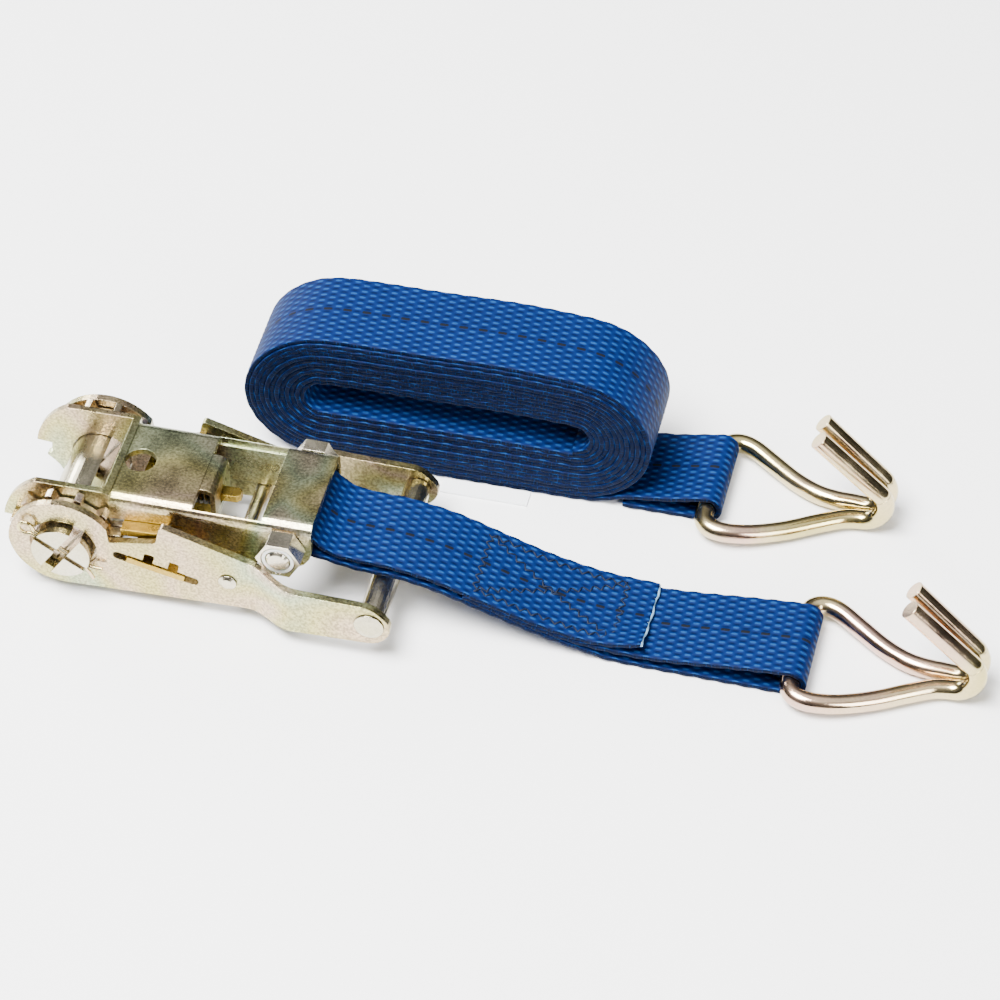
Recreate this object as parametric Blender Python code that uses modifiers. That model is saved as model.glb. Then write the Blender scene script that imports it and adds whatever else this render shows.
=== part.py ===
"""A 25 mm ratchet tie down: a pressed-steel ratchet lying on its handle, a short sewn strap with a double-J hook,
and a long strap wound into a flat roll with a second hook.

Every named size is in millimetres. Meshes are made in metres. The ratchet's parts are drawn about the spindle's
axis, with +X along the ratchet, +Y along the spindle and +Z up; the floor is at Z = 0.
"""

import math

import bmesh
import bpy
from mathutils import Matrix, Vector

MM = 0.001
GAP = 0.3

# The middle of the whole object's footprint, seen from the spindle.
MIDDLE_X = 107.3
MIDDLE_Y = 20.9

# Base frame: a channel with its web uppermost.
SPINDLE_Z = 15.3
BASE_SHEET = 1.7
BASE_HALF_WIDTH = 14.5
WEB_TOP = 14.1
WEB_START = 9.2
BASE_END = 62.9
RIM_HIGH = 17.4
RIM_LOW = 13.0
SIDE_BOTTOM = -0.3
WINDOW = (32.0, 50.0)
FLAP_X = 35.4
FLAP_WIDTH = 13.0
WEB_HOLE_X = 15.0
WEB_HOLE_RADIUS = 4.0

# Anchor bolt.
BOLT_X = 55.8
BOLT_Z = 7.5
BOLT_RADIUS = 3.0
NUT_RADIUS = 5.77

# Spindle and wheels.
SPINDLE_RADIUS = 7.6
SPINDLE_SLOT = 3.0
SPINDLE_HALF_LENGTH = 23.3
SPINDLE_TURN = -34.0
HOLE_CLEARANCE = 0.35
TEETH = 12
TOOTH_TIP = 15.0
TOOTH_ROOT = 12.0
WHEEL_Y = 16.55
WHEEL_THICKNESS = 3.0
COTTER_Y = 22.0
COTTER_WIRE = 0.5
COTTER_HOLE = 1.5

# Handle.
PLATE = 2.0
PLATE_Y = 19.5
FLARE = (47.5, 60.0)
FLARE_OFFSET = 5.5
CROSSBAR_X = 80.4
CROSSBAR_Z = -3.9
CROSSBAR_RADIUS = 3.5
CROSS_PIN_X = 42.6
CROSS_PIN_Z = -2.7
CROSS_PIN_RADIUS = 2.0

# Pawls. Each slides along its own line, and at rest its nose stands just clear of the tooth tips.
PAWL_TRAVEL = 3.4
LOCK_SLOPE = 3.7
LOCK_NOSE = (14.55, 5.81)
LOCK_THICKNESS = 2.0
DRIVE_SLOPE = -13.6
DRIVE_NOSE = (15.8, -0.3)
DRIVE_THICKNESS = 1.8
DRIVE_EAR_START = 0.8
DRIVE_EAR_END = 16.0

# Webbing and hooks.
WEBBING_WIDTH = 24.6
WEBBING = 1.2
WIRE_RADIUS = 2.5
HOOK_BAR_Z = 4.2
SHORT_HOOK_X = 184.5
SHORT_STRAP_LEAN = 0.019
LONG_HOOK_X = 152.4
LONG_HOOK_Y = 50.0
ROLL_X = (30.0, 137.5)
ROLL_Y = 52.3
ROLL_HEIGHT = 43.4
ROLL_BOTTOM = 0.2
ROLL_OPENING = (49.0, 122.0)
ROLL_OPENING_HEIGHT = 8.5

SPINDLE_AXIS = (0.0, 0.0, SPINDLE_Z)
BOLT_AXIS = (BOLT_X, 0.0, SPINDLE_Z + BOLT_Z)
SHORT_HOOK_Y = -SHORT_STRAP_LEAN * (SHORT_HOOK_X - BOLT_X)
SHORT_HOOK_AXIS = (SHORT_HOOK_X, SHORT_HOOK_Y, HOOK_BAR_Z)
LONG_HOOK_AXIS = (LONG_HOOK_X, LONG_HOOK_Y, HOOK_BAR_Z)
FLOOR_ORIGIN = (0.0, 0.0, 0.0)


# ---- scene, materials and placing -----------------------------------------------------------------------------

def clear_scene():
    for obj in list(bpy.data.objects):
        bpy.data.objects.remove(obj, do_unlink=True)


def new_collection(name):
    collection = bpy.data.collections.new(name)
    bpy.context.scene.collection.children.link(collection)
    return collection


def material(name, colour, roughness, metallic):
    made = bpy.data.materials.new(name)
    made.use_nodes = True
    shader = made.node_tree.nodes["Principled BSDF"]
    shader.inputs["Base Color"].default_value = (*colour, 1.0)
    shader.inputs["Roughness"].default_value = roughness
    shader.inputs["Metallic"].default_value = metallic
    return made


def empty(name, origin, parent=None):
    """An axis or reference point; `origin` is in the design frame, in millimetres."""
    made = bpy.data.objects.new(name, None)
    made.empty_display_size = 10 * MM
    PARTS.objects.link(made)
    here = Vector(origin)
    if parent is not None:
        made.parent = parent
        here = here - Vector(parent["origin"])
    made.location = here * MM
    made["origin"] = list(origin)
    return made


def place(obj, parent):
    """Puts an object, whose mesh is drawn about its parent's axis, on that axis."""
    obj.parent = parent
    return obj


def finish_mesh(name, mesh, look, collection):
    obj = bpy.data.objects.new(name, mesh)
    mesh.materials.clear()
    if look is not None:
        mesh.materials.append(look)
    collection.objects.link(obj)
    mesh.shade_smooth()
    mesh.set_sharp_from_angle(angle=math.radians(30))
    return obj


# ---- outlines and solids --------------------------------------------------------------------------------------

def arc(centre, radius, start, end, steps):
    """Points on an arc, by angle in degrees, both ends included."""
    angles = [math.radians(start + (end - start) * i / steps) for i in range(steps + 1)]
    return [(centre[0] + radius * math.cos(a), centre[1] + radius * math.sin(a)) for a in angles]


def rounded(corners, steps=4, loop=True):
    """Points through (x, z, radius) corners, each rounded with its own radius; an open run keeps its two ends."""
    points = []
    last = len(corners) - 1
    for i, (x, z, radius) in enumerate(corners):
        here = Vector((x, z))
        before = Vector(corners[i - 1][:2]) - here
        after = Vector(corners[(i + 1) % len(corners)][:2]) - here
        half = before.angle(after) / 2
        if radius <= 0 or half > math.radians(88) or (not loop and i in (0, last)):
            points.append((x, z))
            continue
        reach = min(radius / math.tan(half), 0.48 * before.length, 0.48 * after.length)
        spoke_length = reach * math.tan(half)
        before.normalize()
        after.normalize()
        centre = here + (before + after).normalized() * (spoke_length / math.sin(half))
        first = here + before * reach - centre
        turn = first.angle_signed(here + after * reach - centre)
        for step in range(steps + 1):
            spoke = first.copy()
            spoke.rotate(Matrix.Rotation(-turn * step / steps, 2))
            points.append(tuple(centre + spoke))
    return points


def turned_points(points, angle):
    """An outline turned about its origin by `angle` degrees."""
    c, s = math.cos(math.radians(angle)), math.sin(math.radians(angle))
    return [(x * c - z * s, x * s + z * c) for x, z in points]


def closed_mesh(curve_object):
    """The welded mesh of a curve object, which is then removed."""
    bpy.context.view_layer.update()
    graph = bpy.context.evaluated_depsgraph_get()
    mesh = bpy.data.meshes.new_from_object(curve_object.evaluated_get(graph))
    mesh.transform(curve_object.matrix_world)
    bpy.data.objects.remove(curve_object, do_unlink=True)
    work = bmesh.new()
    work.from_mesh(mesh)
    bmesh.ops.remove_doubles(work, verts=work.verts, dist=0.002 * MM)
    bmesh.ops.recalc_face_normals(work, faces=work.faces)
    work.to_mesh(mesh)
    work.free()
    return mesh


def slab(name, outlines, y_low, y_high, look=None, collection=None, turn=0.0, offset=(0.0, 0.0)):
    """A flat (x, z) outline, with further outlines as holes, extruded from y_low to y_high."""
    curve = bpy.data.curves.new(name, "CURVE")
    curve.dimensions = "2D"
    curve.fill_mode = "BOTH"
    curve.extrude = (y_high - y_low) / 2 * MM
    for outline in outlines:
        spline = curve.splines.new("POLY")
        spline.points.add(len(outline) - 1)
        for point, (x, z) in zip(spline.points, turned_points(outline, turn)):
            point.co = ((x + offset[0]) * MM, (z + offset[1]) * MM, 0.0, 1.0)
        spline.use_cyclic_u = True
    obj = bpy.data.objects.new(name, curve)
    bpy.context.scene.collection.objects.link(obj)
    middle = (y_low + y_high) / 2 * MM
    obj.matrix_world = Matrix.Translation((0, middle, 0)) @ Matrix.Rotation(math.radians(90), 4, "X")
    return finish_mesh(name, closed_mesh(obj), look, collection or PARTS)


def tube(name, points, radius, look=None, collection=None, sides=2):
    """A wire of round section through (x, y, z) points."""
    curve = bpy.data.curves.new(name, "CURVE")
    curve.dimensions = "3D"
    curve.bevel_depth = radius * MM
    curve.bevel_resolution = sides
    curve.use_fill_caps = True
    spline = curve.splines.new("POLY")
    spline.points.add(len(points) - 1)
    for point, place_of in zip(spline.points, points):
        point.co = (*(Vector(place_of) * MM), 1.0)
    obj = bpy.data.objects.new(name, curve)
    bpy.context.scene.collection.objects.link(obj)
    return finish_mesh(name, closed_mesh(obj), look, collection or PARTS)


def turned(name, profile, centre, look=None, collection=None, steps=24):
    """A piece turned about an axis along Y, from (radius, y) points running from high y to low y."""
    mesh = bpy.data.meshes.new(name)
    work = bmesh.new()
    line = [work.verts.new((radius * MM, 0.0, y * MM)) for radius, y in profile]
    for first, second in zip(line, line[1:]):
        work.edges.new((first, second))
    work.to_mesh(mesh)
    work.free()
    obj = finish_mesh(name, mesh, look, collection or PARTS)
    screw = obj.modifiers.new("Turned", "SCREW")
    screw.axis = "Z"
    screw.steps = screw.render_steps = steps
    screw.use_merge_vertices = True
    screw.merge_threshold = 0.00001
    screw.use_smooth_shade = False
    obj.rotation_euler = (math.radians(-90), 0.0, 0.0)
    obj.location = (centre[0] * MM, 0.0, centre[1] * MM)
    return obj


def box_outline(x_low, x_high, z_low, z_high):
    return [(x_low, z_low), (x_high, z_low), (x_high, z_high), (x_low, z_high)]


def circle(centre, radius, steps=32):
    return arc(centre, radius, 0, 360, steps)[:-1]


def cutter(obj, parent):
    obj.hide_render = True
    obj.display_type = "WIRE"
    return place(obj, parent)


def combine(target, other, operation):
    modifier = target.modifiers.new(f"{operation.lower()} {other.name}", "BOOLEAN")
    modifier.operation = operation
    modifier.solver = "EXACT"
    modifier.object = other


def cut(target, other):
    combine(target, other, "DIFFERENCE")


# ---- base frame -----------------------------------------------------------------------------------------------

def base_frame(look, parent):
    """Two ears and side plates folded down from a web, with a window, a spring flap and slots for the lock pawl."""
    inner = BASE_HALF_WIDTH - BASE_SHEET
    under_web = WEB_TOP - BASE_SHEET
    side = [(BASE_END, WEB_TOP + 0.6, 0), (BASE_END, SIDE_BOTTOM, 7.0), (26, SIDE_BOTTOM, 2), (20, 1.6, 2),
            (13.6, 1.6, 0)]
    outline = rounded(side, loop=False)
    outline += arc((0, 0), RIM_LOW, 7, -155, 24)
    outline += rounded([(-13.2, -4.0, 0), (-15.2, -2.3, 0.4), (-13.3, -1.6, 0.5), (-13.3, 1.9, 0)], loop=False)
    outline += arc((0, 0), RIM_HIGH, 172.5, 119, 10)
    outline += [(WEB_START, RIM_HIGH - 2.1), (WEB_START + 1.6, WEB_TOP + 0.6)]
    frame = slab("base_frame", [outline], -BASE_HALF_WIDTH - 2, BASE_HALF_WIDTH + 2, look)

    envelope = bend_section("base_envelope", BASE_HALF_WIDTH, WEB_TOP, 3.0, WEB_START + 1.2, BASE_END + 5)
    ears = slab("ear_envelope", [box_outline(-30, WEB_START + 1.7, -20, 20)], -BASE_HALF_WIDTH,
                BASE_HALF_WIDTH, collection=CUTTERS)
    combine(envelope, cutter(ears, parent), "UNION")
    combine(frame, cutter(envelope, parent), "INTERSECT")
    hollow = bend_section("base_hollow", inner, under_web, 1.3, -30, BASE_END + 8)
    cut(frame, cutter(hollow, parent))
    mouth = slab("base_mouth", [box_outline(-32, WEB_START, -22, 24)], -inner, inner, collection=CUTTERS)
    cut(frame, cutter(mouth, parent))
    window = slab("base_window", [box_outline(*WINDOW, 11.2, 20)], -inner - 0.5, inner + 0.5, collection=CUTTERS)
    cut(frame, cutter(window, parent))

    through = BASE_HALF_WIDTH + 6
    for name, centre, radius in (
        ("base_spindle_holes", (0, 0), SPINDLE_RADIUS + HOLE_CLEARANCE),
        ("base_bolt_holes", (BOLT_X, BOLT_Z), BOLT_RADIUS + GAP),
    ):
        holes = slab(name, [circle(centre, radius)], -through, through, collection=CUTTERS)
        cut(frame, cutter(holes, parent))
    reach = PAWL_TRAVEL + GAP
    slot_outline = box_outline(-reach, 11.5 + reach, -LOCK_THICKNESS / 2 - GAP, LOCK_THICKNESS / 2 + GAP)
    slots = slab("lock_pawl_slots", [slot_outline], -through, through, collection=CUTTERS,
                 turn=LOCK_SLOPE, offset=LOCK_NOSE)
    cut(frame, cutter(slots, parent))
    web_hole = bpy.data.objects.new("web_hole", cylinder_mesh("web_hole", WEB_HOLE_RADIUS, 8))
    CUTTERS.objects.link(web_hole)
    web_hole.location = (WEB_HOLE_X * MM, 0, WEB_TOP * MM)
    cut(frame, cutter(web_hole, parent))

    combine(frame, cutter(spring_flap(parent), parent), "UNION")
    return place(frame, parent)


def bend_section(name, half_width, top, bend, x_low, x_high):
    """A block along X, open below, whose two upper edges are rounded like the folds of the sheet."""
    corners = [(-half_width, -30, 0), (half_width, -30, 0), (half_width, top, bend), (-half_width, top, bend)]
    outline = rounded(corners, 6)
    block = slab(name, [outline], x_low, x_high, collection=CUTTERS)
    block.data.transform(Matrix.Rotation(math.radians(-90), 4, "Z"))
    return block


def cylinder_mesh(name, radius, depth, steps=32):
    mesh = bpy.data.meshes.new(name)
    work = bmesh.new()
    bmesh.ops.create_cone(work, cap_ends=True, segments=steps, radius1=radius * MM, radius2=radius * MM,
                          depth=depth * MM)
    work.to_mesh(mesh)
    work.free()
    return mesh


def spring_flap(parent):
    """The tongue bent down at the window's edge, with a hole that guides the lock pawl's tail."""
    thick = BASE_SHEET / 2 - 0.2
    middle = WEB_TOP - BASE_SHEET / 2
    outline = rounded([
        (WINDOW[0] - 2, middle - thick, 0), (FLAP_X - thick, middle - thick, 1.2), (FLAP_X - thick, 3.5, 0),
        (FLAP_X + thick, 3.5, 0), (FLAP_X + thick, middle + thick, 2.4), (WINDOW[0] - 2, middle + thick, 0),
    ])
    flap = slab("spring_flap", [outline], -FLAP_WIDTH / 2, FLAP_WIDTH / 2, collection=CUTTERS)
    hole = slab("flap_hole", [box_outline(FLAP_X - 3, FLAP_X + 3, 5.4, 8.6)], -2.2, 2.2, collection=CUTTERS)
    cut(flap, cutter(hole, parent))
    return flap


# ---- anchor bolt and nut --------------------------------------------------------------------------------------

def hexagon(centre, radius):
    return arc(centre, radius, 0, 360, 6)[:-1]


def anchor_bolt(look, parent):
    head = slab("anchor_bolt", [hexagon((0, 0), NUT_RADIUS)], BASE_HALF_WIDTH + GAP, BASE_HALF_WIDTH + 4.1, look)
    shank_low, shank_high = -BASE_HALF_WIDTH - 6.2, BASE_HALF_WIDTH + 2
    shank = turned("anchor_bolt_shank", [
        (0, shank_high), (BOLT_RADIUS, shank_high), (BOLT_RADIUS, shank_low + 0.6), (BOLT_RADIUS - 0.6, shank_low),
        (0, shank_low),
    ], (0, 0), collection=CUTTERS)
    combine(head, cutter(shank, parent), "UNION")
    return place(head, parent)


def lock_nut(look, insert_look, parent):
    low, high = -BASE_HALF_WIDTH - 5.7, -BASE_HALF_WIDTH - GAP
    nut = slab("lock_nut", [hexagon((0, 0), NUT_RADIUS), circle((0, 0), BOLT_RADIUS + GAP)], low, high, look)
    pocket = slab("nut_pocket", [circle((0, 0), 4.4)], low - 1, low + 1.1, collection=CUTTERS)
    cut(nut, cutter(pocket, parent))
    ring_outline = [circle((0, 0), 4.1), circle((0, 0), BOLT_RADIUS + GAP)]
    ring = slab("nut_insert", ring_outline, low + 0.1, low + 0.8, insert_look)
    return place(nut, parent), place(ring, parent)


# ---- spindle, wheels and split pins ---------------------------------------------------------------------------

def half_round(radius, flat):
    """A half-round section whose flat stands `flat` from the axis, facing -X."""
    edge = math.degrees(math.acos(flat / radius))
    return arc((0, 0), radius, -edge, edge, 20)


def spindle_half(name, turn, look, parent):
    outline = half_round(SPINDLE_RADIUS, SPINDLE_SLOT / 2)
    half = slab(name, [outline], -SPINDLE_HALF_LENGTH, SPINDLE_HALF_LENGTH, look, turn=turn)
    for side in (-1, 1):
        hole = bpy.data.objects.new(f"{name}_pin_hole", cylinder_mesh(name, COTTER_HOLE, 30, 16))
        CUTTERS.objects.link(hole)
        hole.rotation_euler = (0, math.radians(90 - SPINDLE_TURN), 0)
        hole.location = (0, side * COTTER_Y * MM, 0)
        cut(half, cutter(hole, parent))
    return place(half, parent)


def ratchet_wheel(name, side, look, parent):
    """Twelve teeth round a hole made of two half-rounds, so that the bar between them turns the wheel."""
    pitch = 360 / TEETH
    outline = []
    for tooth in range(TEETH):
        start = tooth * pitch
        outline += arc((0, 0), TOOTH_ROOT, start - 9.0, start + 8.0, 3)
        outline += arc((0, 0), TOOTH_TIP, start + 11.5, start + 17.5, 2)
    low = side * WHEEL_Y - WHEEL_THICKNESS / 2
    wheel = slab(name, [outline], low, low + WHEEL_THICKNESS, look)
    keyed = half_round(SPINDLE_RADIUS + HOLE_CLEARANCE, SPINDLE_SLOT / 2 - GAP)
    for turn in (SPINDLE_TURN, SPINDLE_TURN + 180):
        hole = slab(f"{name}_hole", [keyed], low - 2, low + WHEEL_THICKNESS + 2, collection=CUTTERS, turn=turn)
        cut(wheel, cutter(hole, parent))
    return place(wheel, parent)


def cotter_pin(name, side, look, parent):
    """A split pin through both spindle halves: one wire doubled back at its eye, with its two ends bent apart."""
    y = side * COTTER_Y
    apart = COTTER_WIRE + 0.1
    leg = [(SPINDLE_RADIUS + 3.4, 2.3), (SPINDLE_RADIUS + 1.4, 1.1), (SPINDLE_RADIUS, apart), (-8.8, apart)]
    eye = arc((-10.9, 0), 1.8, 35, 325, 12)
    route = leg + eye + [(s, -z) for s, z in reversed(leg)]
    pin = tube(name, [(s, y, z) for s, z in route], COTTER_WIRE, look, sides=1)
    pin.rotation_euler = (0, math.radians(-SPINDLE_TURN), 0)
    return place(pin, parent)


# ---- handle ---------------------------------------------------------------------------------------------------

def flare_shift(x):
    """How far the handle's side plates stand outward at this distance from the spindle."""
    along = min(max((x - FLARE[0]) / (FLARE[1] - FLARE[0]), 0.0), 1.0)
    return FLARE_OFFSET * (3 * along ** 2 - 2 * along ** 3)


def handle_plate(name, side, look, parent):
    outline = rounded([
        (12.1, 4.1, 0), (23.4, 6.3, 0.8), (24.4, 7.0, 0.5), (25.6, 12.5, 1.0), (40.7, 7.5, 12), (47.7, 5.1, 8),
        (61.6, 2.6, 20), (81.0, 2.2, 6.0), (87.0, -3.5, 6.0), (83.0, -10.0, 6.0), (61.0, -10.6, 30), (30.0, -11.6, 30),
        (0.0, -12.75, 0),
    ], loop=False)
    outline += [
        (radius * math.cos(math.radians(a)), radius * math.sin(math.radians(a)))
        for a, radius in ((a, 14.4 - 1.8 * max(0, a - 180) / 90) for a in range(260, 30, -8))
    ]
    plate = slab(name, [outline], -PLATE / 2, PLATE / 2, look)
    bend_plate(plate.data, side)
    through = PLATE_Y + FLARE_OFFSET + 5
    half_slot = DRIVE_THICKNESS / 2 + GAP
    nose_to_plate = DRIVE_EAR_START - PAWL_TRAVEL - GAP
    slot_outline = rounded([(x, z, half_slot * 0.95) for x, z in box_outline(
        nose_to_plate, DRIVE_EAR_END + PAWL_TRAVEL + GAP, -half_slot, half_slot)])
    cuts = [slab(f"{name}_slot", [slot_outline], -through, through, collection=CUTTERS,
                 turn=DRIVE_SLOPE, offset=DRIVE_NOSE)]
    for x, z in ((21.6, -1.8), (28.0, -3.35)):
        notch = rounded([(a, b, 0.4) for a, b in box_outline(-1.3, 1.3, 0, 4.0)])
        cuts.append(slab(f"{name}_notch", [notch], -through, through, collection=CUTTERS,
                         turn=DRIVE_SLOPE, offset=(x, z)))
    for centre, radius in (
        ((0, 0), SPINDLE_RADIUS + 1.2),
        ((CROSS_PIN_X, CROSS_PIN_Z), CROSS_PIN_RADIUS - 0.5 + GAP),
        ((CROSSBAR_X, CROSSBAR_Z), CROSSBAR_RADIUS - 1.0 + GAP),
    ):
        cuts.append(slab(f"{name}_hole", [circle(centre, radius)], -through, through, collection=CUTTERS))
    for each in cuts:
        cut(plate, cutter(each, parent))
    return place(plate, parent)


def bend_plate(mesh, side):
    """Moves a plate out to its side and joggles it outward along the flare."""
    work = bmesh.new()
    work.from_mesh(mesh)
    steps = 6
    for i in range(steps + 1):
        x = (FLARE[0] + (FLARE[1] - FLARE[0]) * i / steps) * MM
        everything = work.verts[:] + work.edges[:] + work.faces[:]
        bmesh.ops.bisect_plane(work, geom=everything, plane_co=(x, 0, 0), plane_no=(1, 0, 0), dist=0.01 * MM)
    for vert in work.verts:
        vert.co.y += side * (PLATE_Y + flare_shift(vert.co.x / MM)) * MM
    work.to_mesh(mesh)
    work.free()


def riveted_bar(name, radius, neck, inner, outer, head, centre, look, parent):
    """A round bar between the plates, with a thinner neck through each plate and a riveted head outside it."""
    half = [(0, outer + 1.0), (head * 0.6, outer + 0.9), (head, outer + GAP), (neck, outer + GAP), (neck, inner - GAP),
            (radius, inner - GAP)]
    profile = half + [(r, -y) for r, y in reversed(half)]
    return place(turned(name, profile, centre, look), parent)


# ---- pawls and their springs ----------------------------------------------------------------------------------

def pawl(name, outline, thickness, slope, nose, look, parent):
    """A flat pawl: its (along, across) outline lies in the plane of its slide, and its nose is at the origin."""
    piece = slab(name, [outline], -thickness / 2, thickness / 2, look)
    lay_flat = Matrix.Rotation(math.radians(-90), 4, "X")
    slant = Matrix.Rotation(math.radians(-slope), 4, "Y")
    shift = Matrix.Translation((nose[0] * MM, 0, nose[1] * MM))
    piece.data.transform(shift @ slant @ lay_flat)
    return place(piece, parent)


def mirrored(half):
    """A closed outline from its half at positive 'across', listed from front to back."""
    return half + [(along, -across) for along, across in reversed(half)]


def lock_pawl(look, parent):
    outline = mirrored([(0, 17.9), (11.5, 17.9), (11.5, 1.7), (25.5, 1.7), (26.5, 0.8)])
    return pawl("lock_pawl", outline, LOCK_THICKNESS, LOCK_SLOPE, LOCK_NOSE, look, parent)


def drive_pawl(look, parent):
    outline = mirrored([
        (1.3, 14.8), (0, 15.1), (0, 18.0), (DRIVE_EAR_START, 18.2), (DRIVE_EAR_START, 20.9), (DRIVE_EAR_END, 20.9),
        (DRIVE_EAR_END, 1.0), (17.8, 0.8),
    ])
    return pawl("drive_pawl", outline, DRIVE_THICKNESS, DRIVE_SLOPE, DRIVE_NOSE, look, parent)


def coil(name, start, end, radius, wire, turns, look, parent):
    """A compression spring between two points of the (x, z) plane."""
    axis = Vector((end[0] - start[0], 0, end[1] - start[1]))
    length = axis.length
    across = Vector((0, 1, 0))
    up = axis.normalized().cross(across)
    steps = turns * 12
    points = []
    for i in range(steps + 1):
        angle = 2 * math.pi * i / 12
        along = Vector((start[0], 0, start[1])) + axis.normalized() * (wire + (length - 2 * wire) * i / steps)
        points.append(along + radius * (math.cos(angle) * across + math.sin(angle) * up))
    return place(tube(name, points, wire, look, sides=1), parent)


# ---- webbing --------------------------------------------------------------------------------------------------

def short_strap(look, parent):
    """The sewn strap from the anchor bolt, over the crossbar and down to the floor and its hook."""
    upper = [(62.0, 26.1, 4), (68.5, 20.5, 6), (82.0, 20.0, 12), (94.0, 17.9, 12), (107.0, 13.2, 12),
             (120.0, 9.0, 12), (133.0, 6.4, 12), (150.0, 5.6, 12), (178.0, 7.6, 6)]
    lower = [(176.0, 0.2, 10), (138.0, 0.3, 20), (120.0, 6.0, 20), (104.0, 11.4, 20), (90.0, 15.0, 8),
             (76.0, 15.9, 8), (62.0, 18.7, 4)]
    bolt = (BOLT_X, SPINDLE_Z + BOLT_Z)
    eye = (SHORT_HOOK_X, HOOK_BAR_Z)
    outer_loop = BOLT_RADIUS + GAP + WEBBING - 0.05
    outer_eye = WIRE_RADIUS + GAP + WEBBING
    outline = arc(bolt, outer_loop, 265, 80, 14)
    outline += rounded([(*outline[-1], 0), *upper, (eye[0], eye[1] + outer_eye, 0)], 3, loop=False)[1:-1]
    outline += arc(eye, outer_eye, 90, -90, 12)
    outline += rounded([(*outline[-1], 0), *lower, (*outline[0], 0)], 3, loop=False)[1:-1]
    holes = [circle(bolt, BOLT_RADIUS + GAP, 20), circle(eye, WIRE_RADIUS + GAP, 20)]
    strap = slab("short_strap", [outline, *holes], -WEBBING_WIDTH / 2, WEBBING_WIDTH / 2, look)
    for vert in strap.data.vertices:
        vert.co.y -= SHORT_STRAP_LEAN * (vert.co.x - BOLT_X * MM)
    strap.data.transform(Matrix.Translation(-Vector(BOLT_AXIS) * MM))
    return place(strap, parent)


def long_strap(look, parent):
    """The long strap wound into a flat roll, with its tail running along the floor to the second hook."""
    top = ROLL_BOTTOM + ROLL_HEIGHT
    eye = (LONG_HOOK_X, HOOK_BAR_Z)
    outer_eye = WIRE_RADIUS + GAP + WEBBING
    left, right = ROLL_X
    end_radius = ROLL_HEIGHT / 2 - 0.5
    outline = rounded([(100.0, ROLL_BOTTOM, 0), (left, ROLL_BOTTOM, end_radius), (left, top, end_radius),
                       (right, top, end_radius), (right, 9.0, 12.0), (130.0, 5.0, 3), (142.0, 5.4, 0)], 7, loop=False)
    outline += arc(eye, outer_eye, 90, -90, 12)
    middle = ROLL_BOTTOM + ROLL_HEIGHT / 2
    half = ROLL_OPENING_HEIGHT / 2
    hollow = rounded([(x, z, half - 0.1) for x, z in box_outline(*ROLL_OPENING, middle - half, middle + half)], 5)
    holes = [hollow, circle(eye, WIRE_RADIUS + GAP, 20)]
    strap = slab("long_strap", [outline, *holes], ROLL_Y - WEBBING_WIDTH / 2, ROLL_Y + WEBBING_WIDTH / 2, look)
    work = bmesh.new()
    work.from_mesh(strap.data)
    bend_start, bend_end = 120.0 * MM, (LONG_HOOK_X - 6) * MM
    for x in (bend_start, bend_end):
        everything = work.verts[:] + work.edges[:] + work.faces[:]
        bmesh.ops.bisect_plane(work, geom=everything, plane_co=(x, 0, 0), plane_no=(1, 0, 0), dist=0.01 * MM)
    for vert in work.verts:
        along = min(max((vert.co.x - bend_start) / (bend_end - bend_start), 0.0), 1.0)
        vert.co.y += along * (LONG_HOOK_Y - ROLL_Y) * MM
    work.to_mesh(strap.data)
    work.free()
    return place(strap, parent)


def strap_label(look, parent):
    """A small blank woven label that lies flat in front of the roll."""
    near = ROLL_Y - WEBBING_WIDTH / 2 - GAP
    label = slab("strap_label", [box_outline(83.4, 106.4, 0.1, 0.6)], near - 5.0, near, look)
    return place(label, parent)


# ---- hooks ----------------------------------------------------------------------------------------------------

def hook_path():
    """One wire, bent about its bar: two legs that close together and curl up side by side into a double J."""
    curl, reach, sweep, tip = 6.2, 38.7, 136.0, 22.5
    base = WIRE_RADIUS + 0.2 - HOOK_BAR_Z
    centre = (reach, base + curl)
    rising = [(s, z) for s, z in arc(centre, curl, -90, -90 + sweep, 10)]
    last = math.radians(sweep)
    rising += [(rising[-1][0] + math.cos(last) * tip * t, rising[-1][1] + math.sin(last) * tip * t)
               for t in (0.35, 0.7, 1.0)]
    legs = {
        -1: [(0.0, 6.0, 0.0), (0.0, 12.4, 0.0), (1.4, 15.3, 0.0), (4.4, 16.5, -0.1), (8.6, 16.2, -0.4),
             (14.0, 14.4, -1.0), (21.0, 11.0, base), (28.0, 7.0, base), (33.5, 4.0, base), (36.5, 3.0, base)],
        1: [(0.0, 6.0, 0.0), (0.0, 12.4, 0.0), (1.4, 15.3, 0.0), (4.4, 16.3, -0.1), (8.2, 15.2, -0.4),
            (13.5, 11.8, -1.0), (20.0, 7.4, base), (26.0, 4.2, base), (31.0, 3.0, base), (36.0, 2.8, base)],
    }
    paths = {}
    for side, leg in legs.items():
        apart = [2.72 + 0.3 * max(0, i - 9) for i in range(len(rising))]
        paths[side] = [(s, side * y, z) for s, y, z in leg]
        paths[side] += [(s, side * y, z) for (s, z), y in zip(rising, apart)]
    return list(reversed(paths[-1])) + paths[1]


def wire_hook(name, lean, look, parent):
    """The hook is drawn about the middle of its bar, and leans as its strap does."""
    route = [(x, y - lean * x, z) for x, y, z in smooth_path(hook_path())]
    return place(tube(name, route, WIRE_RADIUS, look), parent)


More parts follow.
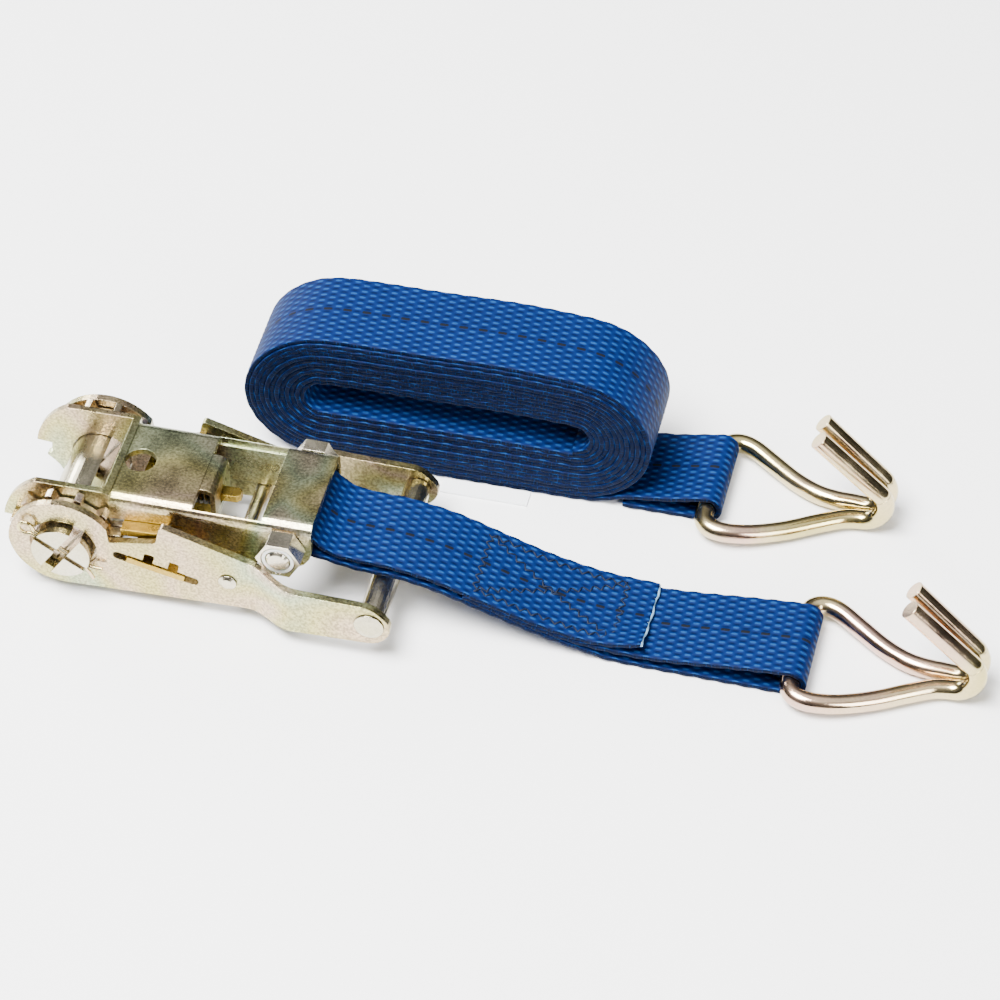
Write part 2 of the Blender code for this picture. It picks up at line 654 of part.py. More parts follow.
def smooth_path(points):
    """Points on a Catmull-Rom curve through the given points, two for each span."""
    spots = [Vector(p) for p in points]
    smooth = []
    for i in range(len(spots) - 1):
        p0, p1, p2 = spots[max(i - 1, 0)], spots[i], spots[i + 1]
        p3 = spots[min(i + 2, len(spots) - 1)]
        for t in (0.0, 0.5):
            smooth.append(0.5 * ((2 * p1) + (p2 - p0) * t + (2 * p0 - 5 * p1 + 4 * p2 - p3) * t ** 2
                                 + (3 * p1 - p0 - 3 * p2 + p3) * t ** 3))
    return smooth + [spots[-1]]


# ---- the assembly ---------------------------------------------------------------------------------------------

def build():
    zinc = material("Yellow zinc plated pressed steel", (0.72, 0.66, 0.46), 0.35, 1.0)
    wheel_zinc = material("Yellow zinc plated wheel steel", (0.78, 0.76, 0.66), 0.32, 1.0)
    pawl_zinc = material("Yellow zinc plated pawl steel", (0.70, 0.60, 0.30), 0.35, 1.0)
    wire_zinc = material("Bright zinc plated wire", (0.80, 0.76, 0.64), 0.22, 1.0)
    fastener = material("Zinc plated fastener steel", (0.76, 0.74, 0.66), 0.3, 1.0)
    spring_steel = material("Spring steel", (0.35, 0.34, 0.32), 0.4, 1.0)
    nylon = material("Nylon", (0.85, 0.85, 0.82), 0.5, 0.0)
    webbing = material("Blue polyester webbing", (0.03, 0.09, 0.33), 0.7, 0.0)
    label_white = material("White woven label", (0.88, 0.88, 0.86), 0.8, 0.0)

    root = empty("ratchet_tie_down", (0.0, 0.0, 0.0))
    root.location = (-MIDDLE_X * MM, -MIDDLE_Y * MM, 0.0)
    base = empty("base_axis", SPINDLE_AXIS, root)
    handle = empty("handle_axis", SPINDLE_AXIS, root)
    spindle = empty("spindle_axis", SPINDLE_AXIS, root)
    bolt = empty("bolt_axis", BOLT_AXIS, root)
    short_hook_axis = empty("short_hook_axis", SHORT_HOOK_AXIS, root)
    long_hook_axis = empty("long_hook_axis", LONG_HOOK_AXIS, root)
    floor = empty("floor_origin", FLOOR_ORIGIN, root)

    base_frame(zinc, base)
    anchor_bolt(fastener, bolt)
    lock_nut(fastener, nylon, bolt)
    spindle_half("spindle_half_lower", SPINDLE_TURN, fastener, spindle)
    spindle_half("spindle_half_upper", SPINDLE_TURN + 180, fastener, spindle)
    for name, side in (("near", -1), ("far", 1)):
        ratchet_wheel(f"ratchet_wheel_{name}", side, wheel_zinc, spindle)
        cotter_pin(f"cotter_pin_{name}", side, fastener, spindle)
        handle_plate(f"handle_plate_{name}", side, zinc, handle)
    plate_inner = PLATE_Y - PLATE / 2
    riveted_bar("handle_crossbar", CROSSBAR_RADIUS, CROSSBAR_RADIUS - 1.0, plate_inner + FLARE_OFFSET,
                plate_inner + FLARE_OFFSET + PLATE, CROSSBAR_RADIUS + 0.4, (CROSSBAR_X, CROSSBAR_Z), fastener, handle)
    riveted_bar("handle_cross_pin", CROSS_PIN_RADIUS, CROSS_PIN_RADIUS - 0.5, plate_inner, plate_inner + PLATE,
                CROSS_PIN_RADIUS + 0.4, (CROSS_PIN_X, CROSS_PIN_Z), fastener, handle)
    lock_pawl(pawl_zinc, base)
    drive_pawl(pawl_zinc, handle)
    coil("lock_pawl_spring", (26.5, 6.55), (34.2, 7.05), 2.9, 0.4, 5, spring_steel, base)
    coil("drive_pawl_spring", (32.1, -4.7), (40.2, -3.6), 2.2, 0.35, 5, spring_steel, handle)
    short_strap(webbing, bolt)
    wire_hook("short_hook", SHORT_STRAP_LEAN, wire_zinc, short_hook_axis)
    long_strap(webbing, floor)
    strap_label(label_white, floor)
    wire_hook("long_hook", 0.0, wire_zinc, long_hook_axis)


clear_scene()
PARTS = new_collection("Ratchet tie down")
CUTTERS = new_collection("Cutters")
build()
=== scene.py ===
"""Looks of the ratchet tie down: zinc-plated steel and blue polyester webbing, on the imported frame."""
import math

import bpy
import numpy as np
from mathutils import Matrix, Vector


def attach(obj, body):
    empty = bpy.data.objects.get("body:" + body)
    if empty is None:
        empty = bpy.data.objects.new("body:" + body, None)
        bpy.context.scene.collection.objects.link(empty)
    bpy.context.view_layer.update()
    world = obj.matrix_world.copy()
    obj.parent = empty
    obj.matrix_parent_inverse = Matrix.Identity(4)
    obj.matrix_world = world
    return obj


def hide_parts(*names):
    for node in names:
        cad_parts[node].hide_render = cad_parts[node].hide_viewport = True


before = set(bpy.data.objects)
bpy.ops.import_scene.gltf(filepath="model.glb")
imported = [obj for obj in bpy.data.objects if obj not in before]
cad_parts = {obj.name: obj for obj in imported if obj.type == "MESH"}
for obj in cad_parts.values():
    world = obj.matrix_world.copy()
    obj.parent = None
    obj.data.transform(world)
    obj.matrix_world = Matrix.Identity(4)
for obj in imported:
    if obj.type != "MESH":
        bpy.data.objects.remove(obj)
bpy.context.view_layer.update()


# Lengths are in drawing millimetres, unless a comment says metres.
MM = 0.001
MIDDLE_X, MIDDLE_Y = 107.3, 20.9      # the middle of the part, from the drawing's origin at the spindle

RIB, ROW = 1.1, 2.55                  # warp rib pitch, and the length of one float before the warp dives
RIBS_EACH_SIDE = 11
WEB_WIDTH, WEB_THICK = 24.6, 1.25
RELIEF = 0.09                         # how far a warp float stands above the weft
SCALLOP = 0.13                        # the weft pulls the selvedge in by this much between its turns
SELVEDGE, EDGE_SHARE = 0.5, 0.55      # how wide the flat edge is, and how thick its rim is beside the rest

BOLT, BOLT_WRAP = (55.8, 22.8), 3.93  # the anchor bolt's (x, z), and the radius of the webbing round it
SHORT_BAR, LONG_BAR = (184.5, 4.2), (152.4, 4.2)
LONG_BAR_Y, ROLL_Y = 50.0, 52.3
BAR_RADIUS, BAR_GAP, WIRE_RADIUS = 2.5, 0.3, 2.55
EYE_RADIUS = BAR_RADIUS + BAR_GAP + WEB_THICK / 2
SHORT_LEAN = 0.019                    # how far the short strap drifts to the near side in each millimetre of x

# Sizes of the patterns in the finishes. Plating grain, filaments and label yarns are finer than this on the
# real thing, and are drawn this coarse so that they show.
CLOUD, SMEAR, SPECK = 100 / 3, 100 / 13, 2 / 3
FILAMENT_LENGTH, FILAMENT_WIDTH = 50 / 39, 2 / 13
FADED_PATCH, WEFT_LOOP = 100 / 9, 5 / 11
LABEL_YARN = math.pi / 9


def to_frame(x, y, z):
    """Drawing millimetres to metres in the shared frame."""
    return Vector(((x - MIDDLE_X) * MM, (y - MIDDLE_Y) * MM, z * MM))


# ---- finishes -------------------------------------------------------------------------------------------------

def linear(colour):
    """An sRGB hex colour as linear RGBA."""
    parts = [int(colour[i:i + 2], 16) / 255 for i in (0, 2, 4)]
    return (*[c / 12.92 if c <= 0.04045 else ((c + 0.055) / 1.055) ** 2.4 for c in parts], 1.0)


def add(tree, kind, inputs=None, stops=(), **settings):
    """A node with its settings. Its inputs are set to a value, or linked from a socket or a node's first output.
    A ramp's stops are (position, hex colour), or (position, strength) for a plain grey that multiplies."""
    made = tree.nodes.new(kind)
    for name, value in settings.items():
        setattr(made, name, value)
    for key, value in (inputs or {}).items():
        if isinstance(value, bpy.types.Node):
            value = value.outputs[0]
        if isinstance(value, bpy.types.NodeSocket):
            tree.links.new(value, made.inputs[key])
        else:
            made.inputs[key].default_value = value
    for _ in stops[2:]:
        made.color_ramp.elements.new(0.5)
    for i, (position, colour) in enumerate(stops):
        made.color_ramp.elements[i].position = position
        made.color_ramp.elements[i].color = linear(colour) if isinstance(colour, str) else (*[colour] * 3, 1.0)
    return made


def new_material(name):
    made = bpy.data.materials.new(name)
    made.use_nodes = True
    made.node_tree.nodes.clear()
    return made, made.node_tree


def passivated(name, tints, rough, speckle, relief=0.5, edge=0.25):
    """Zinc-plated steel under a clear passivate, which tints it in soft clouds. rough is its middle roughness,
    speckle how far its specks darken it, relief how deep they feel, and edge the radius of its corners."""
    made, tree = new_material(name)
    place = add(tree, "ShaderNodeTexCoord").outputs["Object"]
    clouds = add(tree, "ShaderNodeTexNoise", {"Vector": place, "Scale": 1 / (CLOUD * MM), "Detail": 1.5,
                                              "Distortion": 0.4})
    tint = add(tree, "ShaderNodeValToRGB", {"Fac": clouds.outputs["Fac"]}, tints)
    grain = add(tree, "ShaderNodeTexNoise", {"Vector": place, "Scale": 1 / (SPECK * MM), "Detail": 3.0})
    shade = add(tree, "ShaderNodeValToRGB", {"Fac": grain.outputs["Fac"]}, [(0.38, 1.0 - speckle), (0.65, 1.0)])
    colour = add(tree, "ShaderNodeMix", {"Factor": 1.0, 6: tint, 7: shade}, data_type="RGBA",
                 blend_type="MULTIPLY")
    smear = add(tree, "ShaderNodeTexNoise", {"Vector": place, "Scale": 1 / (SMEAR * MM), "Detail": 4.0})
    spread = add(tree, "ShaderNodeMapRange", {"Value": smear.outputs["Fac"], "From Min": 0.3, "From Max": 0.7,
                                              "To Min": rough - 0.07, "To Max": rough + 0.09})
    corner = add(tree, "ShaderNodeBevel", {"Radius": edge * MM}, samples=4)
    bump = add(tree, "ShaderNodeBump", {"Strength": relief, "Distance": 0.06 * MM,
                                        "Height": grain.outputs["Fac"], "Normal": corner})
    shader = add(tree, "ShaderNodeBsdfPrincipled", {"Base Color": colour.outputs[2], "Metallic": 1.0,
                                                    "Roughness": spread, "Normal": bump})
    add(tree, "ShaderNodeOutputMaterial", {"Surface": shader})
    return made


# Pressed mild steel, zinc plated and yellow passivated: pale gold that drifts to pink and blue-green, satin and
# finely speckled.
PRESSED = passivated("Pressed steel, yellow passivated zinc", [
    (0.32, "c3b778"), (0.42, "d0b898"), (0.5, "c2b87c"), (0.58, "b4bd98"), (0.68, "ceb6a0")], 0.27, 0.5, 0.9)
# Stamped wheel blanks with the same plating, tumbled: whiter, with less speckle.
WHEEL = passivated("Stamped wheel steel, tumbled and passivated", [
    (0.35, "c9bf98"), (0.50, "dcc6b6"), (0.65, "bfb27c")], 0.24, 0.25)
# Sheared pawl plate, where the passivate lies thickest: deep straw gold.
PAWL = passivated("Sheared pawl steel, heavy yellow passivate", [
    (0.35, "a98c3c"), (0.55, "bfa24e"), (0.70, "a8965a")], 0.28, 0.2)
# Drawn and bent wire with bright zinc: smooth and glossy, faint straw and pink.
WIRE = passivated("Drawn wire, bright passivated zinc", [
    (0.32, "c0b272"), (0.50, "d4c294"), (0.66, "d2ae9c")], 0.16, 0.12, 0.2)
# Cold-headed bolts and turned bar, clear zinc: near white metal with a straw cast.
FASTENER = passivated("Cold-headed steel, clear zinc", [
    (0.35, "bdb592"), (0.60, "d6cdb8")], 0.22, 0.15, 0.2, edge=0.15)
# Oil-tempered spring wire, left bare: dark grey metal.
SPRING = passivated("Oil-tempered spring wire", [(0.40, "4d4b46"), (0.60, "66635c")], 0.32, 0.05, 0.1, edge=0.05)


def nylon_insert():
    """Moulded nylon locking ring: milky, slightly see-through and soft in its shine."""
    made, tree = new_material("Moulded natural nylon")
    shader = add(tree, "ShaderNodeBsdfPrincipled", {"Base Color": linear("d9d9d2"), "Roughness": 0.45,
                                                    "Subsurface Weight": 0.2, "Subsurface Scale": 1.0 * MM})
    add(tree, "ShaderNodeOutputMaterial", {"Surface": shader})
    return made


def label_cloth():
    """Woven polyester satin label: white and matt, with fine ribs of yarn."""
    made, tree = new_material("Woven polyester label")
    place = add(tree, "ShaderNodeTexCoord").outputs["Object"]
    # At scale 1 this texture's bands are a tenth of pi apart.
    yarns = add(tree, "ShaderNodeTexWave", {"Vector": place, "Scale": math.pi / 10 / (LABEL_YARN * MM)},
                bands_direction="X")
    bump = add(tree, "ShaderNodeBump", {"Strength": 0.3, "Distance": 0.05 * MM, "Height": yarns.outputs["Fac"]})
    shader = add(tree, "ShaderNodeBsdfPrincipled", {"Base Color": linear("eef0f2"), "Roughness": 0.8,
                                                    "Normal": bump})
    add(tree, "ShaderNodeOutputMaterial", {"Surface": shader})
    return made


def webbing_cloth():
    """Shuttle-woven polyester webbing: warp floats in brick order over weft gaps, with painted shade in the gaps
    and painted highlight on the float crests, and a black tracer yarn down the middle.
    Its UV map is in millimetres along and across the cloth."""
    made, tree = new_material("Woven polyester webbing")
    cloth = add(tree, "ShaderNodeUVMap", uv_map="cloth").outputs["UV"]
    split = add(tree, "ShaderNodeSeparateXYZ", {"Vector": cloth})
    waves = []
    for way, pitch in ((split.outputs["X"], ROW), (split.outputs["Y"], RIB)):
        turned = add(tree, "ShaderNodeMath", {0: way, 1: math.pi / pitch}, operation="MULTIPLY")
        waves.append(add(tree, "ShaderNodeMath", {0: turned}, operation="COSINE"))
    weave = add(tree, "ShaderNodeMath", {0: waves[0], 1: waves[1]}, operation="MULTIPLY")
    height = add(tree, "ShaderNodeMapRange", {"Value": weave, "From Min": -0.9, "From Max": 0.7})
    # Filaments run along the warp. Painted highlight lightens the colour on the float crests and along the
    # filaments, and painted shade darkens it in the weft gaps.
    stretched = add(tree, "ShaderNodeMapping", {"Vector": cloth,
                                                "Scale": (1 / FILAMENT_LENGTH, 1 / FILAMENT_WIDTH, 1.0)})
    filaments = add(tree, "ShaderNodeTexNoise", {"Vector": stretched, "Scale": 1.0, "Detail": 2.0})
    lift = add(tree, "ShaderNodeMath", {0: height, 1: 0.75}, operation="MULTIPLY")
    glint = add(tree, "ShaderNodeMath", {0: filaments.outputs["Fac"], 1: 0.35}, operation="MULTIPLY")
    lit = add(tree, "ShaderNodeMath", {0: lift, 1: glint}, operation="ADD")
    # Painted light: the dark stops are painted shade for the gaps, and the light top stop is painted highlight for
    # the crests.
    blue = add(tree, "ShaderNodeValToRGB", {"Fac": lit}, [
        (0.1, "010a26"), (0.35, "02133c"), (0.8, "041e4e"), (1.0, "184478")])
    drift = add(tree, "ShaderNodeTexNoise", {"Vector": cloth, "Scale": 1 / FADED_PATCH, "Detail": 2.0})
    fade = add(tree, "ShaderNodeValToRGB", {"Fac": drift.outputs["Fac"]}, [(0.3, 0.86), (0.7, 1.0)])
    faded = add(tree, "ShaderNodeMix", {"Factor": 1.0, 6: blue, 7: fade}, data_type="RGBA",
                blend_type="MULTIPLY")
    # The selvedge is bare weft loops, coloured dark as painted shade on the side faces, with small painted glints
    # from the loop noise.
    loops = add(tree, "ShaderNodeTexNoise", {"Vector": cloth, "Scale": 1 / WEFT_LOOP, "Detail": 3.0})
    selvedge_painted_shade = add(tree, "ShaderNodeValToRGB", {"Fac": loops.outputs["Fac"]}, [
        (0.40, "010516"), (0.56, "010c28"), (0.70, "0a2a54")])
    off_middle = add(tree, "ShaderNodeMath", {0: split.outputs["Y"]}, operation="ABSOLUTE")
    at_edge = add(tree, "ShaderNodeMath", {0: off_middle, 1: WEB_WIDTH / 2 - 0.12}, operation="GREATER_THAN")
    edged = add(tree, "ShaderNodeMix", {"Factor": at_edge, 6: faded.outputs[2], 7: selvedge_painted_shade}, data_type="RGBA")
    # The tracer shows only where its own floats are on top.
    on_middle = add(tree, "ShaderNodeMath", {0: split.outputs["Y"], 1: 0.0, 2: RIB * 0.42}, operation="COMPARE")
    on_top = add(tree, "ShaderNodeMath", {0: weave, 1: 0.12}, operation="GREATER_THAN")
    tracer = add(tree, "ShaderNodeMath", {0: on_middle, 1: on_top}, operation="MULTIPLY")
    coloured = add(tree, "ShaderNodeMix", {"Factor": tracer, 6: edged.outputs[2], 7: linear("101218")},
                   data_type="RGBA")
    floats = add(tree, "ShaderNodeBump", {"Strength": 0.7, "Distance": 0.18 * MM, "Height": height})
    fine = add(tree, "ShaderNodeBump", {"Strength": 0.5, "Distance": 0.05 * MM,
                                        "Height": filaments.outputs["Fac"], "Normal": floats})
    shader = add(tree, "ShaderNodeBsdfPrincipled", {"Base Color": coloured.outputs[2], "Roughness": 0.6,
                                                    "Specular IOR Level": 0.06, "Normal": fine})
    add(tree, "ShaderNodeOutputMaterial", {"Surface": shader})
    return made


def plain_polyester(name, colour):
    """Solid polyester with a low shine."""
    made, tree = new_material(name)
    shader = add(tree, "ShaderNodeBsdfPrincipled", {"Base Color": linear(colour), "Roughness": 0.6,
                                                    "Specular IOR Level": 0.2})
    add(tree, "ShaderNodeOutputMaterial", {"Surface": shader})
    return made


WEBBING = webbing_cloth()
# Bonded sewing thread: near black, so the seams read as dark lines.
THREAD = plain_polyester("Bonded polyester thread", "050f24")
# Hot-knife cut: the yarn ends melt into a pale bead.
SEALED = plain_polyester("Heat-sealed yarn ends", "6f93ae")

for look, slot, nodes in [
        (PRESSED, "pressed_zinc", ["base_frame", "handle_plate_near", "handle_plate_far"]),
        (WHEEL, "wheel_zinc", ["ratchet_wheel_near", "ratchet_wheel_far"]),
        (PAWL, "pawl_zinc", ["lock_pawl", "drive_pawl"]),
        (WIRE, "wire_zinc", ["short_hook", "long_hook"]),
        (FASTENER, "fastener_steel", ["anchor_bolt", "lock_nut", "spindle_half_lower", "spindle_half_upper",
                                      "handle_crossbar", "handle_cross_pin"]),
        (WIRE, "fastener_steel", ["cotter_pin_near", "cotter_pin_far"]),
        (SPRING, "spring_steel", ["lock_pawl_spring", "drive_pawl_spring"]),
        (nylon_insert(), "nylon", ["nut_insert"]),
        (label_cloth(), "label", ["strap_label"])]:
    for node in nodes:
        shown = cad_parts[node]
        shown.data.materials.clear()
        shown.data.materials.append(look)


# ---- webbing --------------------------------------------------------------------------------------------------

def arc(centre, radius, start, end, steps):
    """Points (x, z) about a centre, from one angle to another in degrees."""
    turns = [math.radians(start + (end - start) * i / steps) for i in range(steps + 1)]
    return [(centre[0] + radius * math.cos(t), centre[1] + radius * math.sin(t)) for t in turns]


def smooth_line(points, cuts):
    """A smooth line through points, with each span between two of them cut into equal shares."""
    spots = np.array(points, float)
    spots = np.vstack([2 * spots[0] - spots[1], spots, 2 * spots[-1] - spots[-2]])
    dense = []
    for p0, p1, p2, p3 in zip(spots, spots[1:], spots[2:], spots[3:]):
        for t in np.linspace(0, 1, cuts, endpoint=False):
            dense.append(0.5 * (2 * p1 + (p2 - p0) * t + (2 * p0 - 5 * p1 + 4 * p2 - p3) * t ** 2
                                + (3 * p1 - p0 - 3 * p2 + p3) * t ** 3))
    return np.array(dense + [spots[-2]])


def even_line(points, step):
    """A smooth line through (x, z) points, sampled evenly about every step, and how far along each sample is."""
    dense = smooth_line(points, 12)
    gone = np.concatenate([[0], np.cumsum(np.linalg.norm(np.diff(dense, axis=0), axis=1))])
    at = np.linspace(0, gone[-1], int(gone[-1] / step) + 1)
    return np.column_stack([np.interp(at, gone, dense[:, 0]), np.interp(at, gone, dense[:, 1])]), at


def weave_height(along, across):
    return np.cos(np.pi * along / ROW) * np.cos(np.pi * across / RIB)


def webbing(name, points, step, middle, tilt=None):
    """A closed band of webbing along a line of (x, z) points, and its length. middle(x, along) is its centre in
    y, and tilt(along, across) is how far it rises off the line."""
    line, gone = even_line(points, step)
    direction = np.gradient(line, axis=0)
    direction /= np.linalg.norm(direction, axis=1)[:, None]
    normal = np.column_stack([-direction[:, 1], direction[:, 0]])
    ribs = np.arange(-RIBS_EACH_SIDE, RIBS_EACH_SIDE + 0.001, 0.5) * RIB
    ordered = np.concatenate([[-WEB_WIDTH / 2], ribs, [WEB_WIDTH / 2]])
    along = gone[:, None]
    rings = []
    for side, across in ((1, ordered[None, :]), (-1, ordered[None, ::-1])):
        woven = np.abs(across) < WEB_WIDTH / 2 - SELVEDGE
        half = np.where(np.abs(across) < WEB_WIDTH / 2, 1.0, EDGE_SHARE) * WEB_THICK / 2
        # The floats of the other face lie where this one has its gaps.
        lift = side * (half + side * RELIEF * weave_height(along, across) * woven)
        pull = SCALLOP * np.cos(np.pi * along / ROW) * np.sign(across) * ~woven
        x = line[:, :1] + normal[:, :1] * lift
        y = across + pull + middle(line[:, :1], along)
        z = line[:, 1:] + normal[:, 1:] * lift + (tilt(along, across) if tilt else 0)
        rings.append(np.stack([x, y, z], axis=2))
    ring = np.concatenate(rings, axis=1)
    rows, columns = ring.shape[:2]
    places = (ring.reshape(-1, 3) - (MIDDLE_X, MIDDLE_Y, 0)) * MM
    index = np.arange(rows * columns).reshape(rows, columns)
    following = np.roll(index, -1, axis=1)
    faces = np.stack([index[:-1], index[1:], following[1:], following[:-1]], axis=2).reshape(-1, 4).tolist()
    for row, turned in ((index[0], False), (index[-1], True)):
        for j in range(columns // 2 - 1):
            cap = [int(row[i]) for i in (j, j + 1, columns - 2 - j, columns - 1 - j)]
            faces.append(cap[::-1] if turned else cap)
    mesh = bpy.data.meshes.new(name)
    mesh.from_pydata(places.tolist(), [], faces)
    mesh.update()
    spots = np.broadcast_arrays(along, np.concatenate([ordered, ordered[::-1]])[None, :])
    spots = np.stack(spots, axis=2).reshape(-1, 2)
    corners = np.zeros(len(mesh.loops), np.int32)
    mesh.loops.foreach_get("vertex_index", corners)
    mesh.uv_layers.new(name="cloth").data.foreach_set("uv", spots[corners].astype(np.float32).ravel())
    mesh.polygons.foreach_set("use_smooth", [True] * len(mesh.polygons))
    mesh.materials.append(WEBBING)
    band = bpy.data.objects.new(name, mesh)
    bpy.context.scene.collection.objects.link(band)
    return band, gone[-1]


def short_middle(x, along):
    return -SHORT_LEAN * (x - BOLT[0])


def corner_curl(across):
    """How far the cut end's near corner has curled up off the layer below."""
    return 2.8 * np.clip((2.0 - across) / 14.3, 0, 1) ** 1.5


def short_tilt(along, across):
    """The curl grows over the last 15 mm of the strap."""
    nearing = np.clip((along - along.max() + 15.0) / 15.0, 0, 1)
    return nearing ** 2 * corner_curl(across)


# From the hidden end in the sewn patch, out to the hook, back underneath, round the anchor bolt and over to the
# cut end.
SHORT_LINE = [(101, 13.5), (107, 11.3), (120, 7.05), (133, 4.45), (146, 3.8), (156, 4.5), (168, 6.0), (178, 7.1)]
SHORT_LINE += arc(SHORT_BAR, EYE_RADIUS, 90, -90, 10)
SHORT_LINE += [(176, 0.85), (160, 0.85), (141, 0.95), (133, 2.4), (120, 5.6), (107, 9.9), (94, 14.3), (84, 16.3),
               (74, 16.7), (63, 18.6)]
SHORT_LINE += arc(BOLT, BOLT_WRAP, -92, -275, 12)
TOP_LAYER = [(60.5, 25.7), (64.5, 22.2), (68.5, 20.1), (75, 19.5), (82, 19.3), (94, 17.2), (107, 12.7),
             (120, 8.45), (133, 5.85), (146.6, 5.2)]
SHORT_LINE += TOP_LAYER
short_strap, short_length = webbing("short_webbing", SHORT_LINE, ROW / 4, short_middle, short_tilt)
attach(short_strap, "short_strap")
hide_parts("short_strap")


def roll_line():
    """A flat spiral: straights joined by half circles that grow by one pitch a turn, then the tail and its eye."""
    left, right, middle = 51.4, 117.0, 21.9
    inner, outer, turns = 4.9, 21.05, 12
    roll_height = 43.0
    points = []
    for turn in range(turns):
        for quarter, (part, count) in enumerate((("right", 10), ("top", 8), ("left", 10), ("bottom", 8))):
            for i in range(count):
                t = i / count
                radius = inner + (outer - inner) * (turn + 0.25 * quarter + 0.25 * t) / turns
                if part == "right":
                    angle = math.radians(-90 + 180 * t)
                    x, z = right + radius * math.cos(angle), middle + radius * math.sin(angle)
                elif part == "top":
                    x, z = right + (left - right) * t, middle + radius
                elif part == "left":
                    angle = math.radians(90 + 180 * t)
                    x, z = left + radius * math.cos(angle), middle + radius * math.sin(angle)
                else:
                    x, z = left + (right - left) * t, middle - radius
                # The whole stack sags together towards its ends, so the turns never cross.
                slump = 3.2 * (max(0.0, 88.0 - x) / 58.0) ** 2 + 2.2 * (max(0.0, x - 94.0) / 43.0) ** 2
                ripple = 0.25 * math.sin(x / 7.0)
                points.append((x, z + (ripple - slump) * (z / roll_height)))
    points += [(117.0, 0.85), (124.0, 1.5), (131.0, 3.7), (141.0, 5.2), (147.5, 6.6)]
    points += arc(LONG_BAR, EYE_RADIUS, 90, -90, 10)
    points += [(144.0, 0.85), (137.0, 0.9), (130.5, 0.95)]
    return points


def roll_middle(x, along):
    """The turns wander a little sideways. The tail runs straight on from them, beyond the middle of its bar."""
    return ROLL_Y + 0.12 * np.sin(along / 61.0) + 0.25 * np.sin(along / 443.0 + 1.0)


roll, roll_length = webbing("long_webbing", roll_line(), ROW / 2, roll_middle)
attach(roll, "long_strap")
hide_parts("long_strap")


# ---- sewing ---------------------------------------------------------------------------------------------------

def strands(name, runs, radius, look, roundness=2):
    """Thread, wire or a sealed edge as round strands through lists of points."""
    curve = bpy.data.curves.new(name, "CURVE")
    curve.dimensions = "3D"
    curve.bevel_depth = radius * MM
    curve.bevel_resolution = roundness
    curve.use_fill_caps = True
    for run in runs:
        spline = curve.splines.new("POLY")
        spline.points.add(len(run) - 1)
        for point, spot in zip(spline.points, run):
            point.co = (*to_frame(*spot), 1.0)
    curve.materials.append(look)
    made = bpy.data.objects.new(name, curve)
    bpy.context.scene.collection.objects.link(made)
    return made


top_line, _ = even_line(TOP_LAYER, 0.5)


def on_patch(x, across, lift):
    """A point above the top layer."""
    z = float(np.interp(x, top_line[:, 0], top_line[:, 1]))
    return (x, across - SHORT_LEAN * (x - BOLT[0]), z + WEB_THICK / 2 + lift)


def zigzag(start, end, pitch, width):
    """Stitches that swing from side to side of a seam, each rising a little between its two needle holes."""
    (x0, v0), (x1, v1) = start, end
    length = math.hypot(x1 - x0, v1 - v0)
    count = max(2, round(length / pitch))
    holes = []
    for i in range(count + 1):
        t, side = i / count, (1 if i % 2 else -1) * width / 2
        holes.append((x0 + (x1 - x0) * t - side * (v1 - v0) / length,
                      v0 + (v1 - v0) * t + side * (x1 - x0) / length))
    runs = []
    for (ax, av), (bx, bv) in zip(holes, holes[1:]):
        runs.append([on_patch(ax + (bx - ax) * t, av + (bv - av) * t, lift)
                     for t, lift in ((0, -0.25), (0.15, 0.08), (0.5, 0.16), (0.85, 0.08), (1, -0.25))])
    return runs


PATCH_NEAR, PATCH_FAR, PATCH_START, PATCH_END = -9.6, 9.6, 103.5, 139.0
STITCH_PITCH, STITCH_WIDTH, THREAD_RADIUS, BEAD_RADIUS = 1.5, 1.6, 0.24, 0.42
near_start, far_start = (PATCH_START, PATCH_NEAR), (PATCH_START, PATCH_FAR)
near_end, far_end = (PATCH_END, PATCH_NEAR), (PATCH_END, PATCH_FAR)
seams = []
for seam in [(near_start, far_start), (near_end, far_end), (near_start, near_end), (far_start, far_end),
             (far_start, near_end), (near_start, far_end)]:
    seams += zigzag(*seam, STITCH_PITCH, STITCH_WIDTH)
stitching = strands("patch_stitching", seams, THREAD_RADIUS, THREAD)
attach(stitching, "short_strap")

bead = []
for across in np.linspace(-12.0, 12.0, 60):
    uneven_x, uneven_z = 0.2 * math.sin(across * 0.9), 0.15 * math.sin(across * 2.1)
    bead.append(on_patch(TOP_LAYER[-1][0] + uneven_x, across, -WEB_THICK / 2 + uneven_z + corner_curl(across)))
cut_end = strands("sealed_end", [bead], BEAD_RADIUS, SEALED)
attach(cut_end, "short_strap")


# ---- hooks ----------------------------------------------------------------------------------------------------

def hook_route():
    """One wire bent about its bar: two legs that close together and curl up side by side into a double J."""
    curl, reach, sweep, tip, base = 6.2, 38.7, 136.0, 22.5, -1.5
    half_gap, flare, curl_points = 2.68, 0.15, 9
    rising = arc((reach, base + curl), curl, -90, -90 + sweep, 10)
    last = math.radians(sweep)
    rising += [(rising[-1][0] + math.cos(last) * tip * t, rising[-1][1] + math.sin(last) * tip * t)
               for t in (0.35, 0.7, 1.0)]
    legs = {
        -1: [(0, 6, 0), (0, 12.4, 0), (1.4, 15.3, 0), (4.4, 16.5, -0.1), (8.6, 16.2, -0.4), (14, 14.4, -1),
             (21, 11, base), (28, 7, base), (33.5, 4, base), (36.5, 3, base)],
        1: [(0, 6, 0), (0, 12.4, 0), (1.4, 15.3, 0), (4.4, 16.3, -0.1), (8.2, 15.2, -0.4), (13.5, 11.8, -1),
            (20, 7.4, base), (26, 4.2, base), (31, 3, base), (36, 2.8, base)],
    }
    sides = {}
    for side, leg in legs.items():
        sides[side] = [(s, side * y, z) for s, y, z in leg]
        sides[side] += [(s, side * (half_gap + flare * max(0, i - curl_points)), z)
                        for i, (s, z) in enumerate(rising)]
    return sides[-1][::-1] + sides[1]


